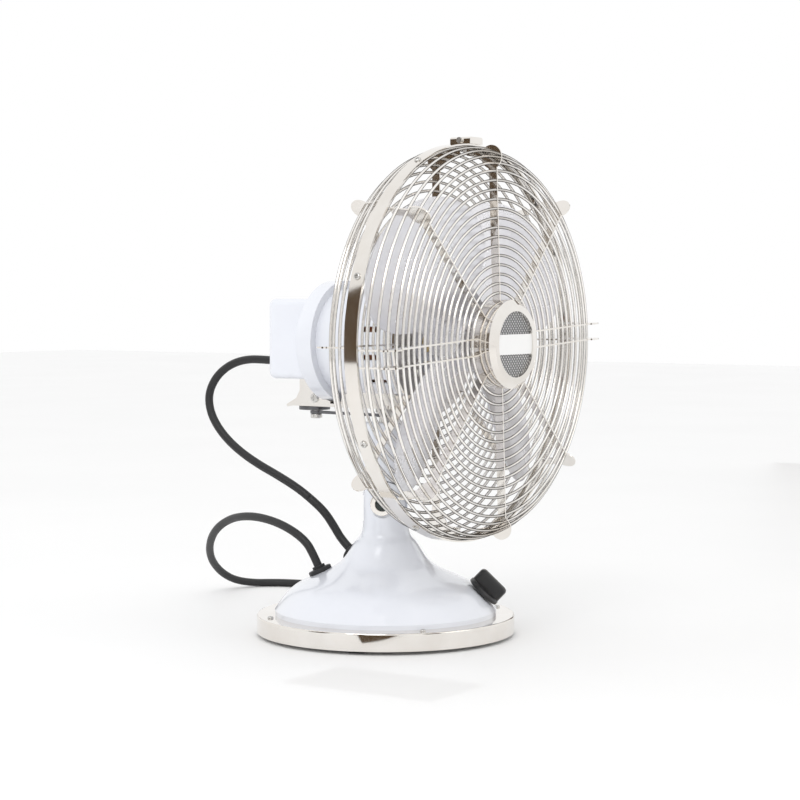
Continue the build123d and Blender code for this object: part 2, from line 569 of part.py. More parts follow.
front_rings = [(r, FRONT_FACE) for r in face_rings]
front_rings += corner_rings(FRONT_FACE, band_front - 2, face_rings[-1], edge_ring, SIDE_RING_COUNT)
rear_face_rings = [REAR_RING_FIRST + i * RING_PITCH for i in range(REAR_RING_COUNT)]
rear_rings = [(r, REAR_FACE) for r in rear_face_rings]
rear_rings += corner_rings(REAR_FACE, band_back + 2, rear_face_rings[-1], edge_ring, SIDE_RING_COUNT)
for r, z in front_rings + rear_rings:
    print("ring", round(r, 1), round(z, 1))
save("front_grille_rings", *[HEAD * ring_wire(r, z) for r, z in front_rings])
save("rear_grille_rings", *[HEAD * ring_wire(r, z) for r, z in rear_rings])


def strip(start, face, rim, into):
    """A flat strip on edge in the XZ plane, from the centre out round the corner to the band.

    It lies outside the wires, with their centres half sunk, and has a round ear at the corner. `into` is the
    direction from the face towards the cage's inside: -1 for the front half, +1 for the rear half.
    """
    out = -into
    skin = WIRE_RADIUS * 0.6
    top = face + out * skin * 2
    bottom = top + into * STRIP_DEPTH
    corner = edge_ring - corner_radius
    outline = [
        (start, top),
        (corner, top),
        (edge_ring - EAR_RADIUS * 0.3, top + into * EAR_RADIUS),
        (edge_ring + skin * 0.5, rim),
        (edge_ring - STRIP_DEPTH, rim),
        (edge_ring - STRIP_DEPTH - 3, bottom + into * 3),
        (corner - 4, bottom),
        (start, bottom),
    ]
    face_sketch = make_face(Polyline(*[(r, 0, z) for r, z in outline], close=True))
    blade_strip = extrude(face_sketch, STRIP_THICK / 2, dir=(0, 1, 0), both=True)
    ear = Pos(EAR_CENTRE, 0, top + into * EAR_DROP) * Rot(90, 0, 0) * Cylinder(EAR_RADIUS, STRIP_THICK)
    return blade_strip + ear


def slotted(solid, rings, offset=0.0):
    """Drill the wires' passages. A strip beside the centre line meets each wire askew."""
    for r, z in rings:
        if r > abs(offset):
            askew = math.degrees(math.asin(offset / r))
            crossing = Pos(math.sqrt(r * r - offset * offset), 0, z) * Rot(0, 0, askew) * Rot(90, 0, 0)
            solid -= crossing * Cylinder(WIRE_RADIUS + WIRE_CLEARANCE, 4 * STRIP_THICK)
    return solid


strip_start = BADGE_RADIUS - 4
front_strip = slotted(strip(strip_start, FRONT_FACE, band_front, -1), front_rings)
single_angles = [a for a in range(0, 360, 45) if a not in (0, 180)]
save("front_grille_strips", *[HEAD * Rot(0, 0, a + GRILLE_TURN) * front_strip for a in single_angles])
pair_solids = []
for side in (-1, 1):
    offset = side * PAIR_SPACING / 2
    one = slotted(strip(strip_start, FRONT_FACE, band_front, -1), front_rings, offset)
    pair_solids += [HEAD * Rot(0, 0, a + GRILLE_TURN) * Pos(0, offset, 0) * one for a in (0, 180)]
save("front_strip_pairs", *pair_solids)
rear_strip = slotted(strip(REAR_PLATE_RADIUS, REAR_FACE, band_back, 1), rear_rings)
save("rear_grille_ribs", *[HEAD * place * rear_strip for place in around(8)])

rear_plate = pipe(REAR_PLATE_RADIUS, REAR_PLATE_HOLE, REAR_FACE - 1.5, REAR_FACE + 0.5)
save("rear_mount_plate", HEAD * rear_plate)
mount_spacers = [HEAD * place * Pos(35, 0, 0) * disc(4, BELL_FRONT, REAR_FACE - 1.5) for place in around(4, 45)]
save("mount_spacers", *mount_spacers)
mount_screws = [HEAD * place * Pos(35, 0, REAR_FACE + 0.5) * dome_screw(3.5, 2.0) for place in around(4, 45)]
save("mount_screws", *mount_screws)

band_screw_places = [Rot(0, 0, a) * Pos(CAGE_RADIUS - 0.3, 0, BAND_CENTRE) * Rot(0, 90, 0)
                     for a in BAND_SCREWS]
band_dome = dome_screw(3.0, 2.0)
band_tool = disc(CAGE_RADIUS, band_back - 5, band_front + 5)
save("band_screws", *[HEAD * ((place * band_dome) - band_tool) for place in band_screw_places])

latch = block(-LATCH_WIDTH / 2, LATCH_WIDTH / 2, CAGE_RADIUS - 3, CAGE_RADIUS + LATCH_HEIGHT,
              BAND_CENTRE - LATCH_LENGTH / 2, BAND_CENTRE + LATCH_LENGTH / 2)
latch = fillet(latch.edges().filter_by(Axis.Z), 2.0)
latch_axis = Pos(0, CAGE_RADIUS + LATCH_HEIGHT * 0.5, BAND_CENTRE) * Rot(0, 90, 0)
save("band_latch", HEAD * (latch - band_tool - latch_axis * Cylinder(LATCH_BOLT_RADIUS, 2 * LATCH_WIDTH)))
latch_bolt = Cylinder(LATCH_BOLT_RADIUS, LATCH_WIDTH)
for end in (-1, 1):
    latch_bolt += Pos(0, 0, end * (LATCH_WIDTH / 2 + 1)) * Cylinder(LATCH_BOLT_RADIUS + 1, 2)
save("latch_bolt", HEAD * latch_axis * latch_bolt)

# ---------------------------------------------------------------- badge
badge = disc(BADGE_RADIUS, BADGE_BACK, BADGE_FRONT)
badge = chamfer(badge.edges().group_by(Axis.Z)[-1], 4.0)
badge -= disc(BADGE_RECESS, BADGE_FLOOR, BADGE_FRONT + 1)
badge -= disc(BADGE_RECESS - 3, BADGE_BACK - 1, BADGE_FLOOR - 2)
solid_strip = strip(strip_start, FRONT_FACE, band_front, -1)
for a in single_angles:
    badge -= Rot(0, 0, a) * solid_strip
for side in (-1, 1):
    for a in (0, 180):
        badge -= Rot(0, 0, a) * Pos(0, side * PAIR_SPACING / 2, 0) * solid_strip
save("badge_ring", HEAD * Rot(0, 0, GRILLE_TURN) * badge)
mesh_top = BADGE_FLOOR + 1.5
save("badge_mesh", HEAD * disc(BADGE_RECESS, BADGE_FLOOR, mesh_top))
bar = block(-BADGE_RECESS, BADGE_RECESS, -BADGE_BAR_HEIGHT / 2, BADGE_BAR_HEIGHT / 2,
            mesh_top, mesh_top + BADGE_BAR_THICK)
save("badge_bar", HEAD * (bar & disc(BADGE_RECESS, mesh_top - 1, mesh_top + 5)))

# ---------------------------------------------------------------- fan
def blade_section(radius, chord, pitch):
    seat = Plane(origin=(0, radius, BLADE_CENTRE), x_dir=(1, 0, 0), z_dir=(0, 1, 0))
    return seat * Rot(0, 0, -pitch) * Rectangle(chord, BLADE_THICK)


blade = loft([blade_section(HUB_RADIUS * 0.5, 150, 31), blade_section(90, 150, 25),
              blade_section(BLADE_TIP + 8, 150, 19)])
petal_centre = BLADE_TIP - BLADE_PETAL_RADIUS
petal = Pos(0, petal_centre, 0) * Cylinder(BLADE_PETAL_RADIUS, 400)
root = Pos(0, petal_centre / 2, 0) * Box(BLADE_PETAL_RADIUS * 0.9, petal_centre, 400)
blade = blade & (petal + root)
blade -= disc(HUB_RADIUS, 0, 200)
save("fan_blades", *[HEAD * place * blade for place in around(BLADE_COUNT, 45)])
hub = fillet(disc(HUB_RADIUS, HUB_BACK, HUB_FRONT).edges().group_by(Axis.Z)[-1], 5.0)
save("fan_hub", HEAD * (hub - disc(SHAFT_RADIUS, 0, 200)))
fan_nut = fillet(disc(FAN_NUT_RADIUS, HUB_FRONT, HUB_FRONT + FAN_NUT_LENGTH).edges().group_by(Axis.Z)[-1], 4.0)
save("fan_nut", HEAD * fan_nut)

# ---------------------------------------------------------------- cords
def bend_radii(points):
    """The radius at each inner point: 0.45 of the shorter run over the tangent of half the turn."""
    radii = []
    for before, here, after in zip(points, points[1:], points[2:]):
        run_in = Vector(*here) - Vector(*before)
        run_out = Vector(*after) - Vector(*here)
        turn = math.radians(run_in.get_angle(run_out))
        radii.append(0.45 * min(run_in.length, run_out.length) / math.tan(turn / 2))
    return radii


def cord_tube(name, points):
    radii = bend_radii(points)
    path = FilletPolyline(*points, radius=radii)
    tube = sweep(Plane(path @ 0, z_dir=path % 0) * Circle(CORD_RADIUS), path)
    expected = math.pi * CORD_RADIUS ** 2 * path.length
    print(name, "length", round(path.length, 1), "volume ratio", round(tube.volume / expected, 4))
    print(name, "radii", [round(r) for r in radii])
    print(name, "runs", [round((Vector(*b) - Vector(*a)).length) for a, b in zip(points, points[1:])])
    return tube


def mouth(seat):
    """Where a cord leaves a gland on the bell, and a point further out on the same line."""
    place = BASE * seat
    out = Axis(place).direction
    start = place.position + out * GROMMET_HEIGHT
    return start, out


power_start, power_out = mouth(power_seat)
motor_end, motor_out = mouth(motor_seat)
print("power mouth", power_start, power_out)
print("motor mouth", motor_end, motor_out)

relief_height = AXIS_HEIGHT - 19
relief = pipe(CORD_RADIUS + 2.5, CORD_RADIUS * 0.6, -GEARBOX_BACK, -GEARBOX_BACK + 4)
save("motor_cord_relief", Pos(0, 0, relief_height) * Rot(-90, 0, 0) * relief)

# From the gearbox's back, out and round behind the neck, to the gland high on the bell.
MOTOR_CORD = [
    (0.0, 118.5, 239.0), (-1.0, 134.0, 240.0), (-2.0, 155.0, 240.0), (-3.0, 174.0, 234.5), (-4.0, 189.5, 223.0),
    (-5.0, 197.8, 207.0), (-6.0, 195.0, 190.0), (-7.0, 183.0, 173.5), (-8.0, 164.0, 158.5), (-8.5, 139.5, 145.5),
    (-8.5, 113.0, 134.8), (-8.0, 91.0, 124.5), (-6.5, 76.0, 114.5), (-2.5, 65.0, 104.0), (1.5, 57.5, 91.0),
    (3.52, 50.33, 78.98), (2.847, 40.719, 71.825),
]
motor_cord = cord_tube("motor_cord", MOTOR_CORD)
save("motor_cord", motor_cord)

# From the gland, up and over in one loop, down to the standing surface and in behind the base.
POWER_CORD = [
    (-28.363, 53.343, 59.248), (-30.5, 57.4, 69.7), (-30.5, 65.0, 80.0), (-30.2, 81.1, 89.3), (-23.6, 107.6, 95.5),
    (-11.2, 142.8, 96.7), (7.0, 181.0, 90.5), (28.0, 217.0, 76.0), (52.0, 245.0, 57.5), (79.0, 266.0, 38.5),
    (108.0, 278.5, 21.5), (135.0, 282.0, 9.0), (158.0, 275.0, 3.75), (174.0, 257.0, 3.75), (183.0, 231.0, 3.75),
    (188.0, 200.0, 3.75), (188.5, 168.0, 3.75), (184.5, 137.0, 3.75), (181.5, 109.0, 3.75),
]
coil_outer = COIL_MID_RADIUS + COIL_WIDTH / 2
coil_inner = COIL_MID_RADIUS - COIL_WIDTH / 2
coil = Pos(COIL_CENTRE[0], COIL_CENTRE[1], 0) * pipe(coil_outer, coil_inner, 0, COIL_HEIGHT)
save("power_cord_coil", coil)
power_cord = cord_tube("power_cord", POWER_CORD) - coil
save("power_cord", power_cord.solids().sort_by(SortBy.VOLUME)[-1])

# The cord's last stretch, from the coil to the plug.
CORD_TAIL = [(104.8, 136.2, 11.2), (118.0, 150.0, 10.4), (131.0, 161.5, 7.5)]
tail = cord_tube("power_cord_tail", CORD_TAIL) - coil
tail_run = Vector(*CORD_TAIL[-1]) - Vector(*CORD_TAIL[-2])
plug_seat = Plane(origin=Vector(CORD_TAIL[-1][0], CORD_TAIL[-1][1], 0), x_dir=tail_run.normalized(),
                  z_dir=(0, 0, 1)).location
plug = Pos(PLUG_LENGTH / 2, 0, PLUG_THICK / 2) * Box(PLUG_LENGTH, PLUG_WIDTH, PLUG_THICK)
plug = fillet(plug.edges().filter_by(Axis.Z), PLUG_WIDTH * 0.25)
plug = fillet(plug.edges().group_by(Axis.Z)[-1], 2.0)
save("plug_body", plug_seat * plug)
tail -= plug_seat * plug
save("power_cord_tail", tail.solids().sort_by(SortBy.VOLUME)[-1])
pins = [plug_seat * Pos(PLUG_LENGTH + PIN_LENGTH / 2, side * PIN_SPACING / 2, PLUG_THICK / 2)
        * Box(PIN_LENGTH, 1.5, 6.3) for side in (-1, 1)]
save("plug_pins", *pins)
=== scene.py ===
import json
import math

import bmesh
import bpy
from mathutils import Matrix, Vector


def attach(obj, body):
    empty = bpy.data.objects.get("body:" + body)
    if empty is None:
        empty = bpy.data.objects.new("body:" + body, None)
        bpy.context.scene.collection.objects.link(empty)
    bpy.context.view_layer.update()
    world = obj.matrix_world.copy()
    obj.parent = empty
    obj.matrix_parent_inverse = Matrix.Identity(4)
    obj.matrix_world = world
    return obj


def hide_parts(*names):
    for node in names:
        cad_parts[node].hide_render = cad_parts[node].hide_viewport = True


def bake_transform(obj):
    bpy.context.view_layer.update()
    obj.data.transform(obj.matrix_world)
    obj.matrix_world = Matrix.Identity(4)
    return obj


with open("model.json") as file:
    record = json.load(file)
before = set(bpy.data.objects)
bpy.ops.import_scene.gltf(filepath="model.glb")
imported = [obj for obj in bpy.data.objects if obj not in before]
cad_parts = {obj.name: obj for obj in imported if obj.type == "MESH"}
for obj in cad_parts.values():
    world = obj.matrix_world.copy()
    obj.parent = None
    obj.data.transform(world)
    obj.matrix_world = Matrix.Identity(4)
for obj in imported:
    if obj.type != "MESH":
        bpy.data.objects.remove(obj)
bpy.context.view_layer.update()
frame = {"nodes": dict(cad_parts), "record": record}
nodes = frame["nodes"]
joints = {joint["name"]: joint for joint in frame["record"]["behaviour"]["joints"]}

# ---------------------------------------------------------------- camera
CAMERA_AZIMUTH = -55.23
CAMERA_DISTANCE = 1.818      # from the base's axis
CAMERA_HEIGHT = 0.306
CAMERA_DROP = 3.12           # degrees below level
CAMERA_TURN = -0.40          # degrees off the base's axis
LENS_LENGTH = 92.9475        # mm, on a sensor this wide
SENSOR_WIDTH = 36.0


def make_camera():
    data = bpy.data.cameras.new("camera")
    data.sensor_width = SENSOR_WIDTH
    data.lens = LENS_LENGTH
    data.clip_end = 50
    data.dof.use_dof = False
    camera = bpy.data.objects.new("camera", data)
    turn = math.radians(CAMERA_AZIMUTH)
    across = math.sin(turn) * CAMERA_DISTANCE
    back = -math.cos(turn) * CAMERA_DISTANCE
    camera.location = (across, back, CAMERA_HEIGHT)
    heading = math.radians(CAMERA_AZIMUTH + CAMERA_TURN)
    camera.rotation_euler = (math.radians(90 - CAMERA_DROP), 0, heading)
    bpy.context.scene.collection.objects.link(camera)
    bpy.context.scene.camera = camera


make_camera()

# ---------------------------------------------------------------- cord routes
CORD_DIAMETER = 0.0075
CORD_RADIUS = CORD_DIAMETER / 2
MOTOR_CORD = [
    (0.0, 0.1185, 0.239), (-0.001, 0.134, 0.240), (-0.002, 0.155, 0.240), (-0.003, 0.174, 0.2345),
    (-0.004, 0.1895, 0.223), (-0.005, 0.1978, 0.207), (-0.006, 0.195, 0.190), (-0.007, 0.183, 0.1735),
    (-0.008, 0.164, 0.1585), (-0.0085, 0.1395, 0.1455), (-0.0085, 0.113, 0.1348), (-0.008, 0.091, 0.1245),
    (-0.0065, 0.076, 0.1145), (-0.0025, 0.065, 0.104), (0.0015, 0.0575, 0.091), (0.00352, 0.05033, 0.07898),
    (0.002847, 0.040719, 0.071825),
]
POWER_CORD = [
    (-0.028363, 0.053343, 0.059248), (-0.0305, 0.0574, 0.0697), (-0.0305, 0.065, 0.080),
    (-0.0302, 0.0811, 0.0893), (-0.0236, 0.1076, 0.0955), (-0.0112, 0.1428, 0.0967), (0.007, 0.181, 0.0905),
    (0.028, 0.217, 0.076), (0.052, 0.245, 0.0575), (0.079, 0.266, 0.0385), (0.108, 0.2785, 0.0215),
    (0.135, 0.282, 0.009), (0.158, 0.275, 0.00375), (0.174, 0.257, 0.00375), (0.183, 0.231, 0.00375),
    (0.188, 0.200, 0.00375), (0.1885, 0.168, 0.00375), (0.1845, 0.137, 0.00375), (0.1815, 0.109, 0.00375),
]
INTO_COIL = (0.1833, 0.113, 0.00375)     # stands in for the route's last point, where it joins the turns
CORD_TAIL = [(0.1048, 0.1362, 0.0112), (0.118, 0.150, 0.0104), (0.131, 0.1615, 0.0075)]

COIL_CENTRE = Vector((0.137, 0.104))
COIL_START_RADIUS = 0.0461
COIL_PITCH = 0.0077          # from one turn to the next
COIL_LAYER = 0.0075          # from one layer to the next
COIL_SPLAY = 0.0009          # how much wider the upper layer starts
COIL_DOWN = 810              # degrees wound on the floor
COIL_CLIMB = 90              # degrees while climbing to the second layer
COIL_END = 1665
COIL_STEP = 22.5


def coil_points():
    """The put-away turns: clockwise and inwards on the floor, up one layer, then outwards again."""
    points = []
    angle = COIL_STEP
    while angle < COIL_END - COIL_STEP / 2:
        climbed = min(max((angle - COIL_DOWN) / COIL_CLIMB, 0), 1)
        inward = min(angle, COIL_DOWN) / 360
        outward = max(angle - COIL_DOWN - COIL_CLIMB, 0) / 360
        radius = COIL_START_RADIUS + COIL_PITCH * (outward - inward) + climbed * COIL_SPLAY
        turn = math.radians(-angle)
        x = COIL_CENTRE.x + radius * math.cos(turn)
        y = COIL_CENTRE.y + radius * math.sin(turn)
        points.append((x, y, CORD_RADIUS + climbed * COIL_LAYER))
        angle += COIL_STEP
    return points


# ---------------------------------------------------------------- curves and meshes
def nurbs(name, points, radius):
    """A NURBS curve with these control points, and a round bevel of this radius."""
    data = bpy.data.curves.new(name, "CURVE")
    data.dimensions = "3D"
    data.resolution_u = 8
    data.bevel_depth = radius
    data.bevel_resolution = 6
    data.use_fill_caps = True
    spline = data.splines.new("NURBS")
    spline.points.add(len(points) - 1)
    for place, point in zip(spline.points, points):
        place.co = (*point, 1)
    spline.order_u = 3
    spline.use_endpoint_u = True
    curve = bpy.data.objects.new(name, data)
    bpy.context.scene.collection.objects.link(curve)
    return curve


def line_of(points):
    """Close points along the smooth NURBS line of a route."""
    guide = nurbs("guide", points, 0)
    bpy.context.view_layer.update()
    evaluated = guide.evaluated_get(bpy.context.evaluated_depsgraph_get())
    mesh = bpy.data.meshes.new_from_object(evaluated)
    line = [vertex.co.copy() for vertex in mesh.vertices]
    bpy.data.objects.remove(guide)
    bpy.data.meshes.remove(mesh)
    return line


def length_of(line):
    return sum((b - a).length for a, b in zip(line, line[1:]))


def link(name, mesh, smooth=True):
    piece = bpy.data.objects.new(name, mesh)
    bpy.context.scene.collection.objects.link(piece)
    if smooth:
        for polygon in mesh.polygons:
            polygon.use_smooth = True
    return piece


def skin(name, bm, rows):
    """A closed mesh over rings of vertices: a band between each two rings, and a flat face at both ends."""
    sides = len(rows[0])
    for low, high in zip(rows, rows[1:]):
        for k in range(sides):
            following = (k + 1) % sides
            bm.faces.new((low[k], low[following], high[following], high[k]))
    bm.faces.new(rows[0][::-1])
    bm.faces.new(rows[-1])
    mesh = bpy.data.meshes.new(name)
    bm.to_mesh(mesh)
    bm.free()
    return mesh


def tube_mesh(name, line, radius, sides=20):
    """A round tube along a line, its cross-section carried along without twist."""
    bm = bmesh.new()
    tangent = (line[1] - line[0]).normalized()
    across = tangent.orthogonal().normalized()
    rows = []
    for i, point in enumerate(line):
        ahead = line[min(i + 1, len(line) - 1)]
        behind = line[max(i - 1, 0)]
        new_tangent = (ahead - behind).normalized()
        across = tangent.rotation_difference(new_tangent) @ across
        tangent = new_tangent
        other = tangent.cross(across).normalized()
        row = []
        for k in range(sides):
            turn = 2 * math.pi * k / sides
            row.append(bm.verts.new(point + radius * (across * math.cos(turn) + other * math.sin(turn))))
        rows.append(row)
    return skin(name, bm, rows)


def turned_mesh(name, outline, sides=48):
    """A solid of revolution about +Z from (radius, height) points, flat at both ends."""
    bm = bmesh.new()
    rows = []
    for radius, height in outline:
        row = []
        for k in range(sides):
            turn = 2 * math.pi * k / sides
            row.append(bm.verts.new((radius * math.cos(turn), radius * math.sin(turn), height)))
        rows.append(row)
    return skin(name, bm, rows)


def stand_on(piece, place, along):
    """Puts a piece's +Z along a direction, with its origin at a place."""
    turn = Vector(along).to_track_quat("Z", "Y").to_matrix().to_4x4()
    piece.matrix_world = Matrix.Translation(place) @ turn


# ---------------------------------------------------------------- materials
def new_material(name):
    material = bpy.data.materials.new(name)
    material.use_nodes = True
    tree = material.node_tree
    return material, tree, tree.nodes["Principled BSDF"]


def noise(tree, scale, detail=4, roughness=0.55, stretch=(1, 1, 1)):
    """Noise in the object's own coordinates, in metres; stretch squeezes it along an axis."""
    place = tree.nodes.new("ShaderNodeTexCoord")
    mapping = tree.nodes.new("ShaderNodeMapping")
    mapping.inputs["Scale"].default_value = stretch
    texture = tree.nodes.new("ShaderNodeTexNoise")
    texture.inputs["Scale"].default_value = scale
    texture.inputs["Detail"].default_value = detail
    texture.inputs["Roughness"].default_value = roughness
    tree.links.new(place.outputs["Object"], mapping.inputs["Vector"])
    tree.links.new(mapping.outputs["Vector"], texture.inputs["Vector"])
    return texture.outputs["Fac"]


def ramp(tree, factor, low, high, start=0.3, end=0.7):
    """Maps a factor to a colour between low and high."""
    node = tree.nodes.new("ShaderNodeValToRGB")
    node.color_ramp.elements[0].position = start
    node.color_ramp.elements[1].position = end
    node.color_ramp.elements[0].color = (*low, 1)
    node.color_ramp.elements[1].color = (*high, 1)
    tree.links.new(factor, node.inputs["Fac"])
    return node.outputs["Color"]


def spread(tree, factor, low, high, start=0.3, end=0.7):
    """Maps a factor between start and end to a value from low to high."""
    node = tree.nodes.new("ShaderNodeMapRange")
    node.inputs["From Min"].default_value = start
    node.inputs["From Max"].default_value = end
    node.inputs["To Min"].default_value = low
    node.inputs["To Max"].default_value = high
    tree.links.new(factor, node.inputs["Value"])
    return node.outputs["Result"]


def bump(tree, shader, height, distance, strength=1.0):
    """Roughens a shader's surface by a height that is `distance` metres at most."""
    node = tree.nodes.new("ShaderNodeBump")
    node.inputs["Distance"].default_value = distance
    node.inputs["Strength"].default_value = strength
    tree.links.new(height, node.inputs["Height"])
    tree.links.new(node.outputs["Normal"], shader.inputs["Normal"])


def edge_wear(tree, radius):
    """Near 1 on sharp edges, 0 on flats: compares the bevelled normal with the true one."""
    bevel = tree.nodes.new("ShaderNodeBevel")
    bevel.inputs["Radius"].default_value = radius
    geometry = tree.nodes.new("ShaderNodeNewGeometry")
    dot = tree.nodes.new("ShaderNodeVectorMath")
    dot.operation = "DOT_PRODUCT"
    tree.links.new(bevel.outputs["Normal"], dot.inputs[0])
    tree.links.new(geometry.outputs["Normal"], dot.inputs[1])
    turn = tree.nodes.new("ShaderNodeMapRange")
    turn.inputs["From Min"].default_value = 1.0
    turn.inputs["From Max"].default_value = 0.8
    tree.links.new(dot.outputs["Value"], turn.inputs["Value"])
    return turn.outputs["Result"]


def mixed(tree, factor, low, high):
    """Mixes two colours, each given as a tuple or as a socket."""
    node = tree.nodes.new("ShaderNodeMix")
    node.data_type = "RGBA"
    tree.links.new(factor, node.inputs["Factor"])
    for socket, value in ((node.inputs[6], low), (node.inputs[7], high)):
        if isinstance(value, tuple):
            socket.default_value = (*value, 1)
        else:
            tree.links.new(value, socket)
    return node.outputs[2]


RIM_START = 0.42             # how far a surface turns from view where its dark rim starts, 1 being edge-on
RIM_END = 0.72
TARNISH_SHARE = 0.35         # how much of its tint the deepest tarnish gives
BRUSHED = (1, 8, 1)
LAMINATED = (1, 60, 1)


def metal(name, low, high, rough_low, rough_high, scale=60, stretch=(1, 1, 1), depth=0.00001, tarnish=None,
          rim=None, metallic=1.0):
    """A bare or plated metal: uneven tint, smudged roughness, fine bump, duller tint in blotches.

    rim is the tint where the surface turns away from view, as bright plating reflects a dark room there.
    """
    material, tree, shader = new_material(name)
    shader.inputs["Metallic"].default_value = metallic
    smudge = noise(tree, 22, 5, 0.6)
    fine = noise(tree, scale, 6, 0.6, stretch)
    colour = ramp(tree, smudge, low, high)
    if tarnish:
        blotch = noise(tree, 9, 8, 0.7)
        mask = spread(tree, blotch, 0.0, TARNISH_SHARE)
        colour = mixed(tree, mask, colour, tarnish)
    if rim:
        facing = tree.nodes.new("ShaderNodeLayerWeight")
        facing.inputs["Blend"].default_value = 0.5
        edge = spread(tree, facing.outputs["Facing"], 0.0, 1.0, RIM_START, RIM_END)
        colour = mixed(tree, edge, colour, rim)
        shader.inputs["Specular Tint"].default_value = (*rim, 1)
    tree.links.new(colour, shader.inputs["Base Color"])
    tree.links.new(spread(tree, smudge, rough_low, rough_high), shader.inputs["Roughness"])
    bump(tree, shader, fine, depth)
    return material


def enamel(name, low, high):
    """Glossy stoved enamel over sheet metal: slight ripple under the gloss, faint dust tint, thin edges."""
    material, tree, shader = new_material(name)
    shader.inputs["Coat Weight"].default_value = 0.6
    shader.inputs["Coat Roughness"].default_value = 0.04
    ripple = noise(tree, 90, 3, 0.5)
    cloud = noise(tree, 7, 6, 0.6)
    colour = ramp(tree, cloud, low, high)
    worn = edge_wear(tree, 0.0006)
    thin = tuple(c * 0.9 for c in low)
    tree.links.new(mixed(tree, worn, colour, thin), shader.inputs["Base Color"])
    tree.links.new(spread(tree, cloud, 0.16, 0.26), shader.inputs["Roughness"])
    bump(tree, shader, ripple, 0.00003, 0.5)
    return material


def moulded(name, low, high, rough_low, rough_high, grain, depth):
    """Moulded plastic or rubber: fine grain, uneven gloss, paler worn edges."""
    material, tree, shader = new_material(name)
    fine = noise(tree, grain, 4, 0.6)
    cloud = noise(tree, 15, 6, 0.65)
    worn = edge_wear(tree, 0.0008)
    paler = tuple(c * 1.6 + 0.01 for c in high)
    colour = mixed(tree, worn, ramp(tree, cloud, low, high), paler)
    tree.links.new(colour, shader.inputs["Base Color"])
    tree.links.new(spread(tree, cloud, rough_low, rough_high), shader.inputs["Roughness"])
    bump(tree, shader, fine, depth)
    return material


chrome = metal("chrome", (0.82, 0.79, 0.75), (0.90, 0.88, 0.85), 0.04, 0.11, tarnish=(0.68, 0.61, 0.53))
wire_chrome = metal("wire_chrome", (0.92, 0.90, 0.87), (0.97, 0.96, 0.94), 0.06, 0.14, scale=400,
                    tarnish=(0.76, 0.70, 0.63), rim=(0.045, 0.032, 0.025))
blade_metal = metal("blade_metal", (0.86, 0.86, 0.91), (0.94, 0.94, 0.97), 0.18, 0.32, scale=35,
                    depth=0.00003, metallic=0.5)
motor_grey = metal("motor_grey", (0.46, 0.46, 0.47), (0.62, 0.62, 0.63), 0.32, 0.48, scale=700, depth=0.00006)
steel = metal("steel", (0.60, 0.59, 0.57), (0.72, 0.71, 0.69), 0.15, 0.30, scale=300, stretch=BRUSHED,
              depth=0.00002)
dark_steel = metal("dark_steel", (0.10, 0.10, 0.11), (0.20, 0.20, 0.21), 0.28, 0.45, scale=300,
                   stretch=BRUSHED, depth=0.00003)
brass = metal("brass", (0.66, 0.50, 0.24), (0.80, 0.63, 0.34), 0.18, 0.32, scale=200,
              tarnish=(0.42, 0.30, 0.14))
iron = metal("laminated_iron", (0.20, 0.20, 0.21), (0.32, 0.32, 0.33), 0.4, 0.6, stretch=LAMINATED,
             depth=0.0001)
white_enamel = enamel("white_enamel", (0.78, 0.80, 0.86), (0.83, 0.85, 0.90))
white_bar = enamel("white_bar", (0.84, 0.84, 0.83), (0.90, 0.90, 0.89))
black_plastic = moulded("black_plastic", (0.010, 0.010, 0.011), (0.018, 0.018, 0.019), 0.22, 0.36,
                        grain=900, depth=0.00003)
black_rubber = moulded("black_rubber", (0.012, 0.012, 0.013), (0.022, 0.022, 0.023), 0.42, 0.60,
                       grain=1200, depth=0.00005)
phenolic = moulded("phenolic", (0.09, 0.04, 0.02), (0.16, 0.08, 0.04), 0.35, 0.5, grain=500, depth=0.00004)
winding = moulded("copper_winding", (0.30, 0.10, 0.04), (0.50, 0.20, 0.09), 0.25, 0.4, grain=900,
                  depth=0.0003)
bottle_green = moulded("bottle_green", (0.010, 0.016, 0.013), (0.020, 0.030, 0.024), 0.06, 0.12,
                       grain=300, depth=0.00001)

SLOT_MATERIALS = {
    "white_enamel": white_enamel, "chrome": chrome, "wire_chrome": wire_chrome, "blade_metal": blade_metal,
    "motor_grey": motor_grey, "steel": steel, "dark_steel": dark_steel, "black_plastic": black_plastic,
    "black_rubber": black_rubber, "brass": brass, "copper_winding": winding, "laminated_iron": iron,
    "phenolic": phenolic, "white_bar": white_bar,
}


KNURL_PITCH = 0.0028
KNURL_LEAN = 45              # degrees
WAVE_PERIOD = 0.314          # of a wave texture whose scale is 1


def knurled(name, colour, across):
    """Fine pressed diamonds, with painted shade in the grooves between them: two crossed sets of ridges,
    `across` metres apart.
    """
    material, tree, shader = new_material(name)
    shader.inputs["Metallic"].default_value = 0.8
    shader.inputs["Roughness"].default_value = 0.42
    place = tree.nodes.new("ShaderNodeTexCoord")
    ridges = []
    for lean in (KNURL_LEAN, -KNURL_LEAN):
        mapping = tree.nodes.new("ShaderNodeMapping")
        mapping.inputs["Rotation"].default_value = (0, math.radians(lean), 0)
        wave = tree.nodes.new("ShaderNodeTexWave")
        wave.inputs["Scale"].default_value = WAVE_PERIOD / across
        tree.links.new(place.outputs["Object"], mapping.inputs["Vector"])
        tree.links.new(mapping.outputs["Vector"], wave.inputs["Vector"])
        ridges.append(wave.outputs["Fac"])
    product = tree.nodes.new("ShaderNodeMath")
    product.operation = "MULTIPLY"
    for ridge, socket in zip(ridges, product.inputs):
        tree.links.new(ridge, socket)
    height = product.outputs["Value"]
    # painted shade: the grooves between the ridges are darkened to a quarter of the colour
    groove_shade = tuple(c * 0.25 for c in colour)
    tree.links.new(ramp(tree, height, groove_shade, colour, 0.1, 0.8), shader.inputs["Base Color"])
    bump(tree, shader, height, across * 0.4)
    return material


def paint(piece, material):
    piece.data.materials.clear()
    piece.data.materials.append(material)


